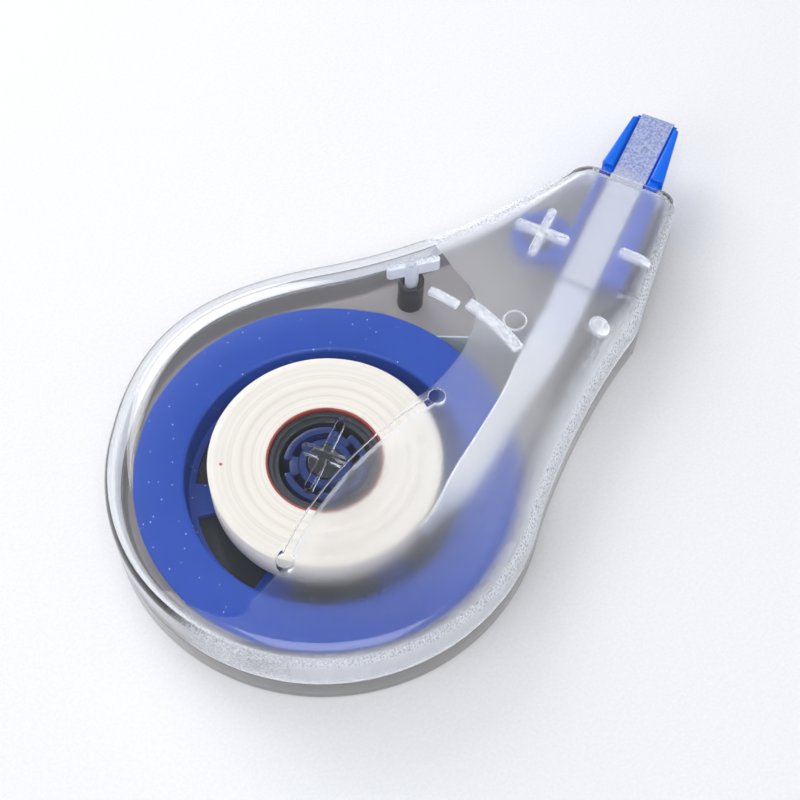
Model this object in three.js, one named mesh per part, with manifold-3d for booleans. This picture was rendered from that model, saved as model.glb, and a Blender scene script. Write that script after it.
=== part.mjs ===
// A coaxial correction tape roller: a drop-shaped case holds a fresh tape pack on a
// core, a take-up wheel under it, and a transfer head that the tape runs over.
// Millimetres, +Z up. The reels' axis is the Z axis, +X points to the head's tip.
import * as THREE from 'three';
import { mergeVertices } from 'three/addons/utils/BufferGeometryUtils.js';
import Module from 'manifold-3d';

const wasm = await Module();
wasm.setup();

// Driving dimensions
const runWidth = 4.6;
const tapeThickness = 0.2;
const gap = 0.2;

const caseRadius = 26.7;
const roofHeight = 12.3;
const roofSlope = 0.027;
const seamHeight = 5.0;
const seamGap = 0.3;
const caseWall = 1.2;
const floorTop = 0.8;
const bodyShoulder = 4.0;
const bodyShoulderRise = 5.2;
const nozzleShoulder = 2.2;
const nozzleShoulderRise = 3.4;
const trimInset = 0.4;
const bottomRound = 1.1;

const tip = new THREE.Vector2(69.8, -0.35);
const nozzleAngle = THREE.MathUtils.degToRad(14.6);
const nozzleFront = -12.4;
const nozzleLeft = 6.0;
const nozzleRight = 7.2;
const nozzleCorner = 2.3;
const nozzleFloorBottom = 3.4;
const rampStart = 41;
const rampEnd = 45;

const ringRadius = 23.7;
const ringTop = 6.3;
const ringThickness = 0.5;
const drumInner = 17.3;
const drumOuter = 18.1;
const webBottom = 1.0;
const webThickness = 0.8;
const windingRadius = 19.4;

const packRadius = 14.2;
const packBottom = 4.75;
const packHeight = 4.7;
const coreInner = 5.6;
const coreOuter = 6.85;
const markerOuter = 7.1;
const packInner = 7.15;

const postRadius = 2.1;
const postTop = 8.9;
const deckTop = 7.6;
const headTop = 8.5;
const headBoss = new THREE.Vector2(43.2, -0.3);
const socketPlace = new THREE.Vector2(28.2, 9.4);
const guardPin = new THREE.Vector2(29.2, -10.1);
const returnPin = new THREE.Vector2(31.9, -5.8);
const pinRadius = 1.0;
const pinTop = 6.0;

// Solids: closed three.js geometry in, joined or cut solid out
function toSolid(geometry) {
  const bare = geometry.clone();
  bare.deleteAttribute('normal');
  bare.deleteAttribute('uv');
  const merged = mergeVertices(bare, 1e-4);
  return new wasm.Manifold(new wasm.Mesh({
    numProp: 3,
    vertProperties: Float32Array.from(merged.attributes.position.array),
    triVerts: Uint32Array.from(merged.index.array),
  }));
}

function toGeometry(solid) {
  const mesh = solid.getMesh();
  const geometry = new THREE.BufferGeometry();
  geometry.setAttribute('position', new THREE.BufferAttribute(mesh.vertProperties, 3));
  geometry.setIndex(new THREE.BufferAttribute(mesh.triVerts, 1));
  geometry.computeVertexNormals();
  return geometry;
}

function joined(solids) {
  return solids.reduce((whole, solid) => whole.add(solid));
}

function column(x, y, radius, bottom, top, sides = 24) {
  const geometry = new THREE.CylinderGeometry(radius, radius, top - bottom, sides);
  geometry.rotateX(Math.PI / 2);
  geometry.translate(x, y, (top + bottom) / 2);
  return toSolid(geometry);
}

function block(x0, x1, y0, y1, z0, z1) {
  const geometry = new THREE.BoxGeometry(x1 - x0, y1 - y0, z1 - z0);
  geometry.translate((x0 + x1) / 2, (y0 + y1) / 2, (z0 + z1) / 2);
  return toSolid(geometry);
}

// A ring turned from radius/height corners, listed counter-clockwise
function turned(corners, sides = 64) {
  const profile = [...corners, corners[0]].map(([radius, z]) => new THREE.Vector2(radius, z));
  const geometry = new THREE.LatheGeometry(profile, sides);
  geometry.rotateX(Math.PI / 2);
  return toSolid(geometry);
}

function ring(inner, outer, bottom, top, sides = 64) {
  return turned([[inner, bottom], [outer, bottom], [outer, top], [inner, top]], sides);
}

// A flat outline raised from one height to another
function raised(shape, bottom, top, curveSegments = 8) {
  const geometry = new THREE.ExtrudeGeometry(shape, { depth: top - bottom, bevelEnabled: false, curveSegments });
  geometry.translate(0, 0, bottom);
  return toSolid(geometry);
}

// A bar between two points with half-round ends
function roundBar(from, to, width) {
  const along = to.clone().sub(from);
  const heading = Math.atan2(along.y, along.x);
  const shape = new THREE.Shape();
  shape.absarc(from.x, from.y, width / 2, heading + Math.PI / 2, heading + 1.5 * Math.PI, false);
  shape.absarc(to.x, to.y, width / 2, heading - Math.PI / 2, heading + Math.PI / 2, false);
  return shape;
}

// A curved bar about a centre, between two radii and two angles in degrees
function arcBar(centre, inner, outer, startDegrees, endDegrees) {
  const start = THREE.MathUtils.degToRad(startDegrees);
  const end = THREE.MathUtils.degToRad(endDegrees);
  const shape = new THREE.Shape();
  shape.absarc(centre.x, centre.y, outer, start, end, false);
  shape.absarc(centre.x, centre.y, inner, end, start, true);
  return shape;
}

// Four-sided bar between two upright rectangles across the nozzle
function taperedBar(start, end) {
  const corners = [start, end].flatMap(({ u, v, z }) => [
    [u, v[0], z[0]], [u, v[1], z[0]], [u, v[1], z[1]], [u, v[0], z[1]],
  ]);
  const faces = [0, 3, 2, 0, 2, 1, 4, 5, 6, 4, 6, 7, 0, 1, 5, 0, 5, 4,
    1, 2, 6, 1, 6, 5, 2, 3, 7, 2, 7, 6, 3, 0, 4, 3, 4, 7];
  const geometry = new THREE.BufferGeometry();
  geometry.setAttribute('position', new THREE.Float32BufferAttribute(corners.flat(), 3));
  geometry.setIndex(faces);
  return toSolid(geometry);
}

// Nozzle frame: u runs out along the nozzle and is 0 at the tip, v runs to its left
function onNozzle(u, v) {
  return new THREE.Vector2(u, v).rotateAround(new THREE.Vector2(), nozzleAngle).add(tip);
}

function inNozzle(point) {
  return point.clone().sub(tip).rotateAround(new THREE.Vector2(), -nozzleAngle);
}

// Case outline: a round reel end, one flank that swells and then draws in, and a
// straighter flank with a knee, meeting at a square nozzle
function caseOutline() {
  const nearEnd = THREE.MathUtils.degToRad(-66);
  const farEnd = THREE.MathUtils.degToRad(120);
  const knee = new THREE.Vector2(41.2, -17.6);
  const right = onNozzle(nozzleFront, -nozzleRight);
  const left = onNozzle(nozzleFront, nozzleLeft);
  const path = new THREE.Path();
  path.moveTo(caseRadius * Math.cos(nearEnd), caseRadius * Math.sin(nearEnd));
  path.bezierCurveTo(18.2, -21.1, 31.5, -18.1, 39.2, -17.75);
  path.quadraticCurveTo(knee.x, knee.y, 43.2, -16.7);
  const rightStart = right.clone().add(new THREE.Vector2(-nozzleCorner, -nozzleCorner * 0.46));
  const rightEnd = onNozzle(nozzleFront, nozzleCorner - nozzleRight);
  path.lineTo(rightStart.x, rightStart.y);
  path.quadraticCurveTo(right.x, right.y, rightEnd.x, rightEnd.y);
  const leftStart = onNozzle(nozzleFront, nozzleLeft - nozzleCorner);
  const leftEnd = left.clone().add(new THREE.Vector2(-nozzleCorner, nozzleCorner * 0.36));
  path.lineTo(leftStart.x, leftStart.y);
  path.quadraticCurveTo(left.x, left.y, leftEnd.x, leftEnd.y);
  path.bezierCurveTo(44.5, 6, 30.7, 11.9, 21.2, 19.5);
  path.bezierCurveTo(9.7, 28.3, -0.4, 31.2, caseRadius * Math.cos(farEnd), caseRadius * Math.sin(farEnd));
  path.absarc(0, 0, caseRadius, farEnd, nearEnd + 2 * Math.PI, false);
  const points = [];
  for (const curve of path.curves) {
    const steps = Math.max(4, Math.round(curve.getLength() / 2.6));
    for (let i = 0; i < steps; i++) points.push(curve.getPointAt(i / steps));
  }
  return points.filter((point, i) => point.distanceTo(points[(i + 1) % points.length]) > 0.05);
}

const outline = caseOutline();

function insetPoint(i, distance) {
  const here = outline[i];
  const before = outline[(i + outline.length - 1) % outline.length];
  const after = outline[(i + 1) % outline.length];
  const inwardBefore = here.clone().sub(before).normalize().rotateAround(new THREE.Vector2(), Math.PI / 2);
  const inwardAfter = after.clone().sub(here).normalize().rotateAround(new THREE.Vector2(), Math.PI / 2);
  const inward = inwardBefore.clone().add(inwardAfter).normalize();
  return here.clone().addScaledVector(inward, distance / inward.dot(inwardAfter));
}

// Share of the way from the body's soft shoulder to the nozzle's tighter one
function nozzleShare(x) {
  return THREE.MathUtils.smoothstep(x, 34, 54);
}

function shoulderAt(x) {
  return THREE.MathUtils.lerp(bodyShoulder, nozzleShoulder, nozzleShare(x));
}

function shoulderRiseAt(x) {
  return THREE.MathUtils.lerp(bodyShoulderRise, nozzleShoulderRise, nozzleShare(x));
}

// The cover's flat roof slopes down towards the nozzle
function roofAt(x) {
  return roofHeight - roofSlope * x;
}

// A closed solid of the case outline, inset all round. Its bottom edge is rounded to a
// radius, its top edge to an upright ellipse that a wall thickness shrinks.
function caseSolid({ inset, bottom, topAt, bottomRadius = 0, shoulderLess }) {
  const steps = 6;
  const rings = [];
  const addRing = (turn, reachAt, riseAt, levelAt) => {
    rings.push(outline.map((point, i) => {
      const place = insetPoint(i, inset + reachAt(point.x) * (1 - Math.cos(turn)));
      return new THREE.Vector3(place.x, place.y, levelAt(place.x) + riseAt(point.x) * (1 - Math.sin(turn)));
    }));
  };
  const quarter = (i) => (i / steps) * (Math.PI / 2);
  const flat = () => 0;
  const round = () => bottomRadius;
  if (bottomRadius) for (let i = steps; i >= 0; i--) addRing(quarter(i), round, round, () => bottom);
  else addRing(0, flat, flat, () => bottom);
  if (shoulderLess === undefined) addRing(0, flat, flat, topAt);
  else {
    const reach = (x) => shoulderAt(x) - shoulderLess;
    const drop = (x) => shoulderLess - shoulderRiseAt(x);
    for (let i = 0; i <= steps; i++) addRing(quarter(i), reach, drop, topAt);
  }
  const count = outline.length;
  const faces = [];
  for (let level = 0; level + 1 < rings.length; level++) {
    for (let i = 0; i < count; i++) {
      const a = level * count + i;
      const b = level * count + ((i + 1) % count);
      faces.push(a, b, b + count, a, b + count, a + count);
    }
  }
  const cap = (ring) => THREE.ShapeUtils.triangulateShape(ring.map((p) => new THREE.Vector2(p.x, p.y)), []);
  const last = (rings.length - 1) * count;
  for (const [a, b, c] of cap(rings[0])) faces.push(a, c, b);
  for (const [a, b, c] of cap(rings[rings.length - 1])) faces.push(last + a, last + b, last + c);
  const geometry = new THREE.BufferGeometry();
  geometry.setFromPoints(rings.flat());
  geometry.setIndex(faces);
  return toSolid(geometry);
}

// The space under the nozzle that the lower shell leaves free, a given height lower or higher
function underNozzle(lift) {
  const profile = new THREE.Shape([
    new THREE.Vector2(rampStart, -5), new THREE.Vector2(80, -5),
    new THREE.Vector2(80, nozzleFloorBottom + lift), new THREE.Vector2(rampEnd, nozzleFloorBottom + lift),
    new THREE.Vector2(rampStart, lift),
  ]);
  const geometry = new THREE.ExtrudeGeometry(profile, { depth: 80, bevelEnabled: false });
  geometry.rotateX(Math.PI / 2);
  geometry.translate(0, 40, 0);
  return toSolid(geometry);
}

function onNozzleSolid(solid) {
  const matrix = new THREE.Matrix4().makeRotationZ(nozzleAngle).setPosition(tip.x, tip.y, 0);
  return solid.transform(matrix.elements);
}

function cross(centre, heading, long, short, width, bottom, top) {
  const arm = (length, turn) => {
    const reach = new THREE.Vector2(length / 2, 0).rotateAround(new THREE.Vector2(), heading + turn);
    return raised(roundBar(centre.clone().sub(reach), centre.clone().add(reach), width), bottom, top, 6);
  };
  return arm(long - width, 0).add(arm(short - width, Math.PI / 2));
}

function upperCover() {
  const ribWidth = 1.1;
  const ribBottom = packBottom + packHeight + 0.5;
  const aboveRoof = roofAt(-caseRadius) + 1;
  const outer = caseSolid({ inset: 0, bottom: seamHeight + seamGap / 2, topAt: roofAt, shoulderLess: 0 });
  const inner = caseSolid({
    inset: caseWall, bottom: seamHeight - 1, topAt: (x) => roofAt(x) - caseWall, shoulderLess: caseWall,
  });
  const inside = caseSolid({
    inset: trimInset, bottom: 0, topAt: (x) => roofAt(x) - trimInset, shoulderLess: trimInset,
  });
  const mouth = onNozzleSolid(block(nozzleFront - 3, nozzleFront + 2, -5.2, 4.6, seamHeight - 1, 9.1));
  const shell = outer.subtract(inner).subtract(mouth);

  const arcCentre = new THREE.Vector2(0.5, -50);
  const arcEnds = [new THREE.Vector2(14.9, -5.3), new THREE.Vector2(-13.5, -5.5)];
  const plateHalf = new THREE.Vector2(2.6, -1.9);
  const ribs = [
    raised(arcBar(arcCentre, 46.2, 47.3, 72.1, 107.4), ribBottom, aboveRoof),
    ...arcEnds.map((end) => column(end.x, end.y, ribWidth, ribBottom, aboveRoof, 16)),
    cross(new THREE.Vector2(), 0.29, 10.4, 5.9, ribWidth, ribBottom, aboveRoof),
    cross(headBoss, nozzleAngle, 7.6, 7.3, ribWidth, headTop + 0.25, aboveRoof),
    raised(arcBar(new THREE.Vector2(), 27.4, 28.9, -18.2, 0.4), 9.6, aboveRoof),
    raised(arcBar(new THREE.Vector2(), 26.5, 27.6, 2, 11), 9.6, aboveRoof, 4),
    raised(roundBar(socketPlace.clone().sub(plateHalf), socketPlace.clone().add(plateHalf), 1.0), 8.2, aboveRoof, 4),
    column(socketPlace.x, socketPlace.y, 0.9, 4.2, aboveRoof, 16),
    column(36, -14.4, 1.2, 9.0, aboveRoof, 20),
    raised(roundBar(new THREE.Vector2(47.2, -10.3), new THREE.Vector2(47.9, -13.4), 1.1), 8.8, aboveRoof, 5),
  ];
  return shell.add(joined(ribs).intersect(inside));
}

function lowerShell() {
  const rim = seamHeight - seamGap / 2;
  const outer = caseSolid({ inset: 0, bottom: 0, topAt: () => rim, bottomRadius: bottomRound });
  const hollow = caseSolid({ inset: caseWall, bottom: floorTop, topAt: () => rim + 2 });
  const tray = outer.subtract(underNozzle(0)).subtract(hollow.subtract(underNozzle(floorTop)));
  const bury = floorTop / 2;
  const posts = [
    column(0, 0, postRadius, bury, postTop),
    column(guardPin.x, guardPin.y, pinRadius, bury, pinTop, 16),
    column(returnPin.x, returnPin.y, pinRadius, bury, pinTop, 16),
    column(headBoss.x, headBoss.y, 1.5, bury, headTop - 0.3, 16).subtract(underNozzle(bury)),
  ];
  const socket = column(socketPlace.x, socketPlace.y, 1.75, bury, 6.2)
    .subtract(column(socketPlace.x, socketPlace.y, 1.15, 2.2, 7, 16));
  return joined([tray, ...posts, socket]);
}

function takeupWheel() {
  const webTop = webBottom + webThickness;
  const bore = postRadius + 0.1;
  const dish = turned([
    [bore, webBottom], [drumOuter, webBottom], [drumOuter, ringTop - ringThickness],
    [ringRadius, ringTop - ringThickness], [ringRadius, ringTop], [drumInner, ringTop],
    [drumInner, webTop], [bore, webTop],
  ], 96);
  const hub = ring(bore, 3.3, webBottom, postTop - 0.3, 48);
  const coreSeat = ring(5.8, 7.6, webTop - 0.2, packBottom - gap - 0.1, 48);
  const slots = [];
  const windows = [];
  const fingerCount = 3;
  const windowCount = 6;
  for (let i = 0; i < fingerCount; i++) {
    const turn = (360 / fingerCount) * i;
    slots.push(raised(arcBar(new THREE.Vector2(), 3.6, 6, turn + 4, turn + 22), webTop + 0.9, 10));
  }
  const clutch = joined(slots.reduce((left, slot) => [left[0].subtract(slot)], [ring(4.2, 5.1, webTop - 0.2, postTop - 0.5, 48)]));
  const bridge = ring(3.2, 4.3, postTop - 1.3, postTop - 0.7, 48);
  const bridgeGaps = [];
  for (let i = 0; i < fingerCount; i++) {
    const turn = (360 / fingerCount) * i;
    bridgeGaps.push(raised(arcBar(new THREE.Vector2(), 3.35, 4.15, turn + 30, turn + 112), 7, 10));
  }
  for (let i = 0; i < windowCount; i++) {
    const turn = (360 / windowCount) * i;
    windows.push(raised(arcBar(new THREE.Vector2(), 9, 16.4, turn + 8 + 15, turn + 52 + 15), 0, webTop + 1));
  }
  let wheel = joined([dish, hub, coreSeat, clutch, bridge]);
  for (const cut of [...windows, ...bridgeGaps]) wheel = wheel.subtract(cut);
  return wheel;
}

function transferHead() {
  const boss = inNozzle(headBoss);
  const side = new THREE.Shape([
    [-30, deckTop], [-12, deckTop], [-0.7, 7.35], [-0.15, 7.25], [0, 7.1], [-0.15, 6.95], [-0.7, 6.85],
    [-11.5, 6.0], [-12.4, 6.2], [-30, 6.5],
  ].map(([u, z]) => new THREE.Vector2(u, z)));
  const tongueGeometry = new THREE.ExtrudeGeometry(side, { depth: 5.6, bevelEnabled: false });
  tongueGeometry.rotateX(Math.PI / 2);
  tongueGeometry.translate(0, 2.8, 0);
  const wing = (flip) => {
    const across = (inner, outer) => (flip > 0 ? [inner, outer] : [-outer, -inner]);
    const root = flip > 0 ? [2.75, 4.2] : [2.75, 4.8];
    return taperedBar(
      { u: -14.2, v: across(...root), z: [5.9, headTop] },
      { u: -0.9, v: across(2.6, 3.1), z: [6.8, 7.9] },
    );
  };
  const rightRail = taperedBar(
    { u: -29, v: [-5.6, -2.75], z: [5.9, headTop] },
    { u: -14, v: [-4.8, -2.75], z: [5.9, headTop] },
  );
  const leftRail = block(-29, -14, 2.75, 3.7, 5.9, headTop);
  const bossDisc = column(boss.x, boss.y, 3.9, 6.2, headTop, 32);
  const arm = block(-29, -23.6, 2.9, boss.y, 6.3, 7.5);
  const bossHole = column(boss.x, boss.y, 1.8, 5, 10, 20);
  return joined([toSolid(tongueGeometry), wing(1), wing(-1), rightRail, leftRail, arm, bossDisc]).subtract(bossHole);
}

// A ribbon of tape: stations hold its centre and the direction of its width
function ribbon(stations, width, thickness) {
  const points = [];
  stations.forEach(({ centre, across }, i) => {
    const before = stations[Math.max(0, i - 1)].centre;
    const after = stations[Math.min(stations.length - 1, i + 1)].centre;
    const along = after.clone().sub(before).normalize();
    const half = across.clone().addScaledVector(along, -across.dot(along)).normalize().multiplyScalar(width / 2);
    const face = new THREE.Vector3().crossVectors(along, half).normalize().multiplyScalar(thickness / 2);
    points.push(
      centre.clone().sub(half).sub(face), centre.clone().add(half).sub(face),
      centre.clone().add(half).add(face), centre.clone().sub(half).add(face),
    );
  });
  const faces = [0, 2, 1, 0, 3, 2];
  for (let i = 0; i + 1 < stations.length; i++) {
    for (let side = 0; side < 4; side++) {
      const a = i * 4 + side;
      const b = i * 4 + ((side + 1) % 4);
      faces.push(a, b, b + 4, a, b + 4, a + 4);
    }
  }
  const end = (stations.length - 1) * 4;
  faces.push(end, end + 1, end + 2, end, end + 2, end + 3);
  const geometry = new THREE.BufferGeometry();
  geometry.setFromPoints(points);
  geometry.setIndex(faces);
  return toSolid(geometry);
}

// Stations along a smooth route; the width leans from upright (0) to level (1)
function leaningRoute(points, count, leanAt) {
  const curve = new THREE.CatmullRomCurve3(points, false, 'centripetal');
  const stations = [];
  for (let i = 0; i <= count; i++) {
    const share = i / count;
    const along = curve.getTangentAt(share);
    const level = new THREE.Vector3(-along.y, along.x, 0).normalize();
    const lean = leanAt(share) * (Math.PI / 2);
    stations.push({
      centre: curve.getPointAt(share),
      across: level.multiplyScalar(Math.sin(lean)).add(new THREE.Vector3(0, 0, Math.cos(lean))),
    });
  }
  return stations;
}

const deckTape = deckTop + gap + tapeThickness / 2;
const deckRear = -30.5;
const underTape = 5.55;
const underRear = -27.5;

function supplyRun() {
  const beside = packRadius + gap + tapeThickness / 2;
  const arrive = onNozzle(deckRear - 0.4, 0);
  const before = onNozzle(deckRear - 3, 0);
  const points = [
    [0.8, -beside - 0.05, packBottom + packHeight / 2], [4.2, -beside - 0.05, 7.85], [8, -14.45, 8.45],
    [10, -14.25, 8.5], [18, -13, 8.4], [27, -11.2, 8.2], [before.x - 2.9, before.y - 0.8, 8.0], [before.x, before.y, deckTape],
    [arrive.x, arrive.y, deckTape],
  ].map((p) => new THREE.Vector3(...p));
  const step = THREE.MathUtils.smoothstep;
  const leanAt = (share) => 0.38 * step(share, 0.04, 0.24) + 0.62 * step(share, 0.48, 0.88);
  return ribbon(leaningRoute(points, 44, leanAt), runWidth, tapeThickness);
}

function headTape() {
  const clear = gap + tapeThickness / 2;
  const stations = [
    [deckRear, deckTape], [-12, deckTape], [-0.8, 7.37 + clear], [-0.02, 7.2 + clear], [0.3, 7.1],
    [-0.02, 7.0 - clear], [-0.8, 6.83 - clear], [-11.4, 5.98 - clear], [-13.5, underTape], [underRear, underTape],
  ].map(([u, z]) => ({ centre: new THREE.Vector3(u, 0, z), across: new THREE.Vector3(0, 1, 0) }));
  return ribbon(stations, runWidth, tapeThickness);
}

function returnRun() {
  const around = windingRadius + gap + tapeThickness / 2;
  const level = webBottom + runWidth / 2;
  const leave = onNozzle(underRear - 0.4, 0);
  const after = onNozzle(underRear - 2.5, 0);
  const bend = [285, 253, 221].map((degrees) => {
    const turn = THREE.MathUtils.degToRad(degrees);
    return new THREE.Vector2(Math.cos(turn), Math.sin(turn)).multiplyScalar(pinRadius + 0.5).add(returnPin);
  });
  const off = bend[2];
  const touch = Math.atan2(off.y, off.x) + Math.acos(around / off.length());
  const land = new THREE.Vector2(Math.cos(touch), Math.sin(touch)).multiplyScalar(around);
  const middle = off.clone().lerp(land, 0.5);
  const points = [
    [leave.x, leave.y, underTape], [after.x, after.y, underTape - 0.25], [36.4, -7.75, level + 0.6],
    ...bend.map(({ x, y }) => [x, y, level]), [middle.x, middle.y, level], [land.x, land.y, level],
  ].map((p) => new THREE.Vector3(...p));
  const leanAt = (share) => 1 - THREE.MathUtils.smoothstep(share, 0, 0.27);
  return ribbon(leaningRoute(points, 52, leanAt), runWidth, tapeThickness);
}

function plastic(color, roughness, opacity = 1) {
  return new THREE.MeshStandardMaterial({ color, roughness, metalness: 0, opacity, transparent: opacity < 1 });
}

const clearPlastic = plastic(0xe9edf2, 0.2, 0.35);
const smokyPlastic = plastic(0x77797c, 0.25, 0.7);
const bluePlastic = plastic(0x2d5ab8, 0.4);
const darkPlastic = plastic(0x3b3f41, 0.4);
const creamTape = plastic(0xf5f3ec, 0.7);
const redTape = plastic(0xc0413a, 0.6);
const usedTape = plastic(0xdfe3ea, 0.5, 0.7);

function named(name, solid, material) {
  const mesh = new THREE.Mesh(toGeometry(solid), material);
  mesh.name = name;
  return mesh;
}

const roller = new THREE.Group();
const nozzle = new THREE.Group();
nozzle.position.set(tip.x, tip.y, 0);
nozzle.rotation.z = nozzleAngle;
nozzle.add(named('transfer_head', transferHead(), bluePlastic));
nozzle.add(named('head_tape', headTape(), usedTape));

const supplyReel = new THREE.Group();
const packTop = packBottom + packHeight;
supplyReel.add(named('supply_core', ring(coreInner, coreOuter, packBottom - 0.2, packTop - 0.5), darkPlastic));
supplyReel.add(named('end_marker', ring(coreOuter + 0.05, markerOuter, packBottom, packTop), redTape));
supplyReel.add(named('tape_pack', ring(packInner, packRadius, packBottom, packTop, 96), creamTape));

const takeupReel = new THREE.Group();
takeupReel.add(named('takeup_wheel', takeupWheel(), bluePlastic));
takeupReel.add(named('takeup_winding',
  ring(drumOuter + 0.1, windingRadius, webBottom, webBottom + runWidth, 96), usedTape));

roller.add(named('upper_cover', upperCover(), clearPlastic));
roller.add(named('lower_shell', lowerShell(), smokyPlastic));
roller.add(named('supply_run', supplyRun(), creamTape));
roller.add(named('return_run', returnRun(), usedTape));
roller.add(nozzle, supplyReel, takeupReel);

export default roller;
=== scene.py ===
# Correction tape roller, dressed for rendering.
# Metres, Z up. The reels turn about the Z axis and the nozzle points to +X.
import math
import bmesh
import bpy
from mathutils import Matrix, Vector


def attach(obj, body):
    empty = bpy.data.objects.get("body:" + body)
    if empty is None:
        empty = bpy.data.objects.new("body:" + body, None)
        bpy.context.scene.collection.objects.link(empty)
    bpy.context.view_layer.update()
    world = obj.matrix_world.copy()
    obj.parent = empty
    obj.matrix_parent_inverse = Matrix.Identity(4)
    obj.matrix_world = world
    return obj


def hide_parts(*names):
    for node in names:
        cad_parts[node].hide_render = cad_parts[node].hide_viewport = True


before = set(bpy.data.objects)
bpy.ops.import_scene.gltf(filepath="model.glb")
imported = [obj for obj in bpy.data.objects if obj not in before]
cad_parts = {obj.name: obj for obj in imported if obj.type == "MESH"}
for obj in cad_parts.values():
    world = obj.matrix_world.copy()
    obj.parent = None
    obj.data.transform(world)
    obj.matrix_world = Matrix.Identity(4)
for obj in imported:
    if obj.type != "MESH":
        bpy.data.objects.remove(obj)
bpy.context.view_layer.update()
mm = 0.001

# what the pieces share, as x and y in mm from the reels' axis
places = {
    "tip": (69.8, -0.35), "headBoss": (43.2, -0.3), "socket": (28.2, 9.4),
    "guardPin": (29.2, -10.1), "returnPin": (31.9, -5.8),
}
tip = Vector(places["tip"])
nozzleTurn = math.radians(14.6)
sharpAngle = 50  # degrees between faces, above which a small part's edge is softened


def toLinear(hexText):
    parts = [int(hexText[i:i + 2], 16) / 255 for i in (1, 3, 5)]
    return tuple(c / 12.92 if c <= 0.04045 else ((c + 0.055) / 1.055) ** 2.4 for c in parts) + (1.0,)


def addNode(tree, kind, inputs=None, links=None, stops=(), **settings):
    node = tree.nodes.new(kind)
    for key, value in settings.items():
        setattr(node, key, value)
    for index, (place, colour) in enumerate(stops):
        node.color_ramp.elements[index].position = place
        node.color_ramp.elements[index].color = toLinear(colour)
    for key, value in (inputs or {}).items():
        node.inputs[key].default_value = value
    for key, source in (links or {}).items():
        tree.links.new(source, node.inputs[key])
    return node


def startMaterial(name):
    material = bpy.data.materials.new(name)
    material.use_nodes = True
    tree = material.node_tree
    tree.nodes.clear()
    return material, tree, addNode(tree, "ShaderNodeTexCoord").outputs["Object"]


def endMaterial(tree, surface, passTint=None, passSocket=None):
    if passTint:  # lamps shine through the plastic, so what it covers is lit
        ray = addNode(tree, "ShaderNodeLightPath")
        clear = addNode(tree, "ShaderNodeBsdfTransparent", {"Color": passTint},
                        {"Color": passSocket} if passSocket else {})
        surface = addNode(tree, "ShaderNodeMixShader", links={
            0: ray.outputs["Is Shadow Ray"], 1: surface, 2: clear.outputs[0]}).outputs[0]
    addNode(tree, "ShaderNodeOutputMaterial", links={"Surface": surface})


def fromSpan(span):  # a stretch in mm, as the input range of a Map Range node
    return {"From Min": span[0] * mm, "From Max": span[1] * mm}


def axisDistance(tree, coords):
    flat = addNode(tree, "ShaderNodeVectorMath", {1: (1.0, 1.0, 0.0)}, {0: coords}, operation="MULTIPLY")
    length = addNode(tree, "ShaderNodeVectorMath", links={0: flat.outputs[0]}, operation="LENGTH")
    return length.outputs["Value"]


def pickOnly(obj):
    if bpy.context.object and bpy.context.object.mode != "OBJECT":
        bpy.ops.object.mode_set(mode="OBJECT")
    bpy.ops.object.select_all(action="DESELECT")
    obj.select_set(True)
    bpy.context.view_layer.objects.active = obj


def startEdit(obj, mode="VERT", action="DESELECT"):
    pickOnly(obj)
    bpy.ops.object.mode_set(mode="EDIT")
    bpy.ops.mesh.select_mode(type=mode)
    bpy.ops.mesh.select_all(action=action)


def endEdit():
    bpy.ops.object.mode_set(mode="OBJECT")


def pickParts(obj, kind, test):
    mesh = bmesh.from_edit_mesh(obj.data)
    for part in getattr(mesh, kind):
        if test(part):
            part.select_set(True)
    mesh.select_flush_mode()
    bmesh.update_edit_mesh(obj.data)


def useModifier(obj, kind, **settings):
    pickOnly(obj)
    modifier = obj.modifiers.new(kind.title(), kind)
    for key, value in settings.items():
        setattr(modifier, key, value)
    bpy.ops.object.modifier_apply(modifier=modifier.name)


def combine(obj, other, operation):
    for part in (obj, other):  # the solver fails on millimetre details drawn in metres
        part.data.transform(Matrix.Scale(1 / mm, 4))
    useModifier(obj, "BOOLEAN", operation=operation, solver="MANIFOLD", object=other)
    obj.data.transform(Matrix.Scale(mm, 4))
    bpy.data.objects.remove(other)


def placeApplied(obj):
    pickOnly(obj)
    bpy.ops.object.transform_apply(location=True, rotation=True, scale=True)


def placeOnNozzle(obj):  # from the tip's own axes, where x runs out along the nozzle
    obj.rotation_euler.z = nozzleTurn
    obj.location = (tip.x * mm, tip.y * mm, 0)
    placeApplied(obj)


def facesOut(obj):
    startEdit(obj, action="SELECT")
    bpy.ops.mesh.remove_doubles(threshold=0.002 * mm)
    bpy.ops.mesh.normals_make_consistent(inside=False)
    endEdit()


def softEdges(obj, width, segments=3, angle=sharpAngle):
    useModifier(obj, "BEVEL", width=width * mm, segments=segments, limit_method="ANGLE",
                angle_limit=math.radians(angle), use_clamp_overlap=True, miter_outer="MITER_ARC")


def paint(obj, materials, index):
    for material in materials:
        obj.data.materials.append(material)
    for face in obj.data.polygons:
        face.material_index = index


def finishPiece(obj, name, materials, body, node, angle=32):
    obj.name = name
    obj.data.name = name
    while len(obj.data.materials) < len(materials):
        obj.data.materials.append(None)
    for index, material in enumerate(materials):
        obj.data.materials[index] = material
    pickOnly(obj)
    bpy.ops.object.shade_smooth_by_angle(angle=math.radians(angle))
    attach(obj, body)
    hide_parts(node)
    print("made", name, len(obj.data.polygons), "faces")


def addBlock(x, y, z):
    bpy.ops.object.select_all(action="DESELECT")
    bpy.ops.mesh.primitive_cube_add(size=1)
    obj = bpy.context.object
    obj.scale = [(high - low) * mm for low, high in (x, y, z)]
    obj.location = [(high + low) / 2 * mm for low, high in (x, y, z)]
    placeApplied(obj)
    return obj


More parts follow.
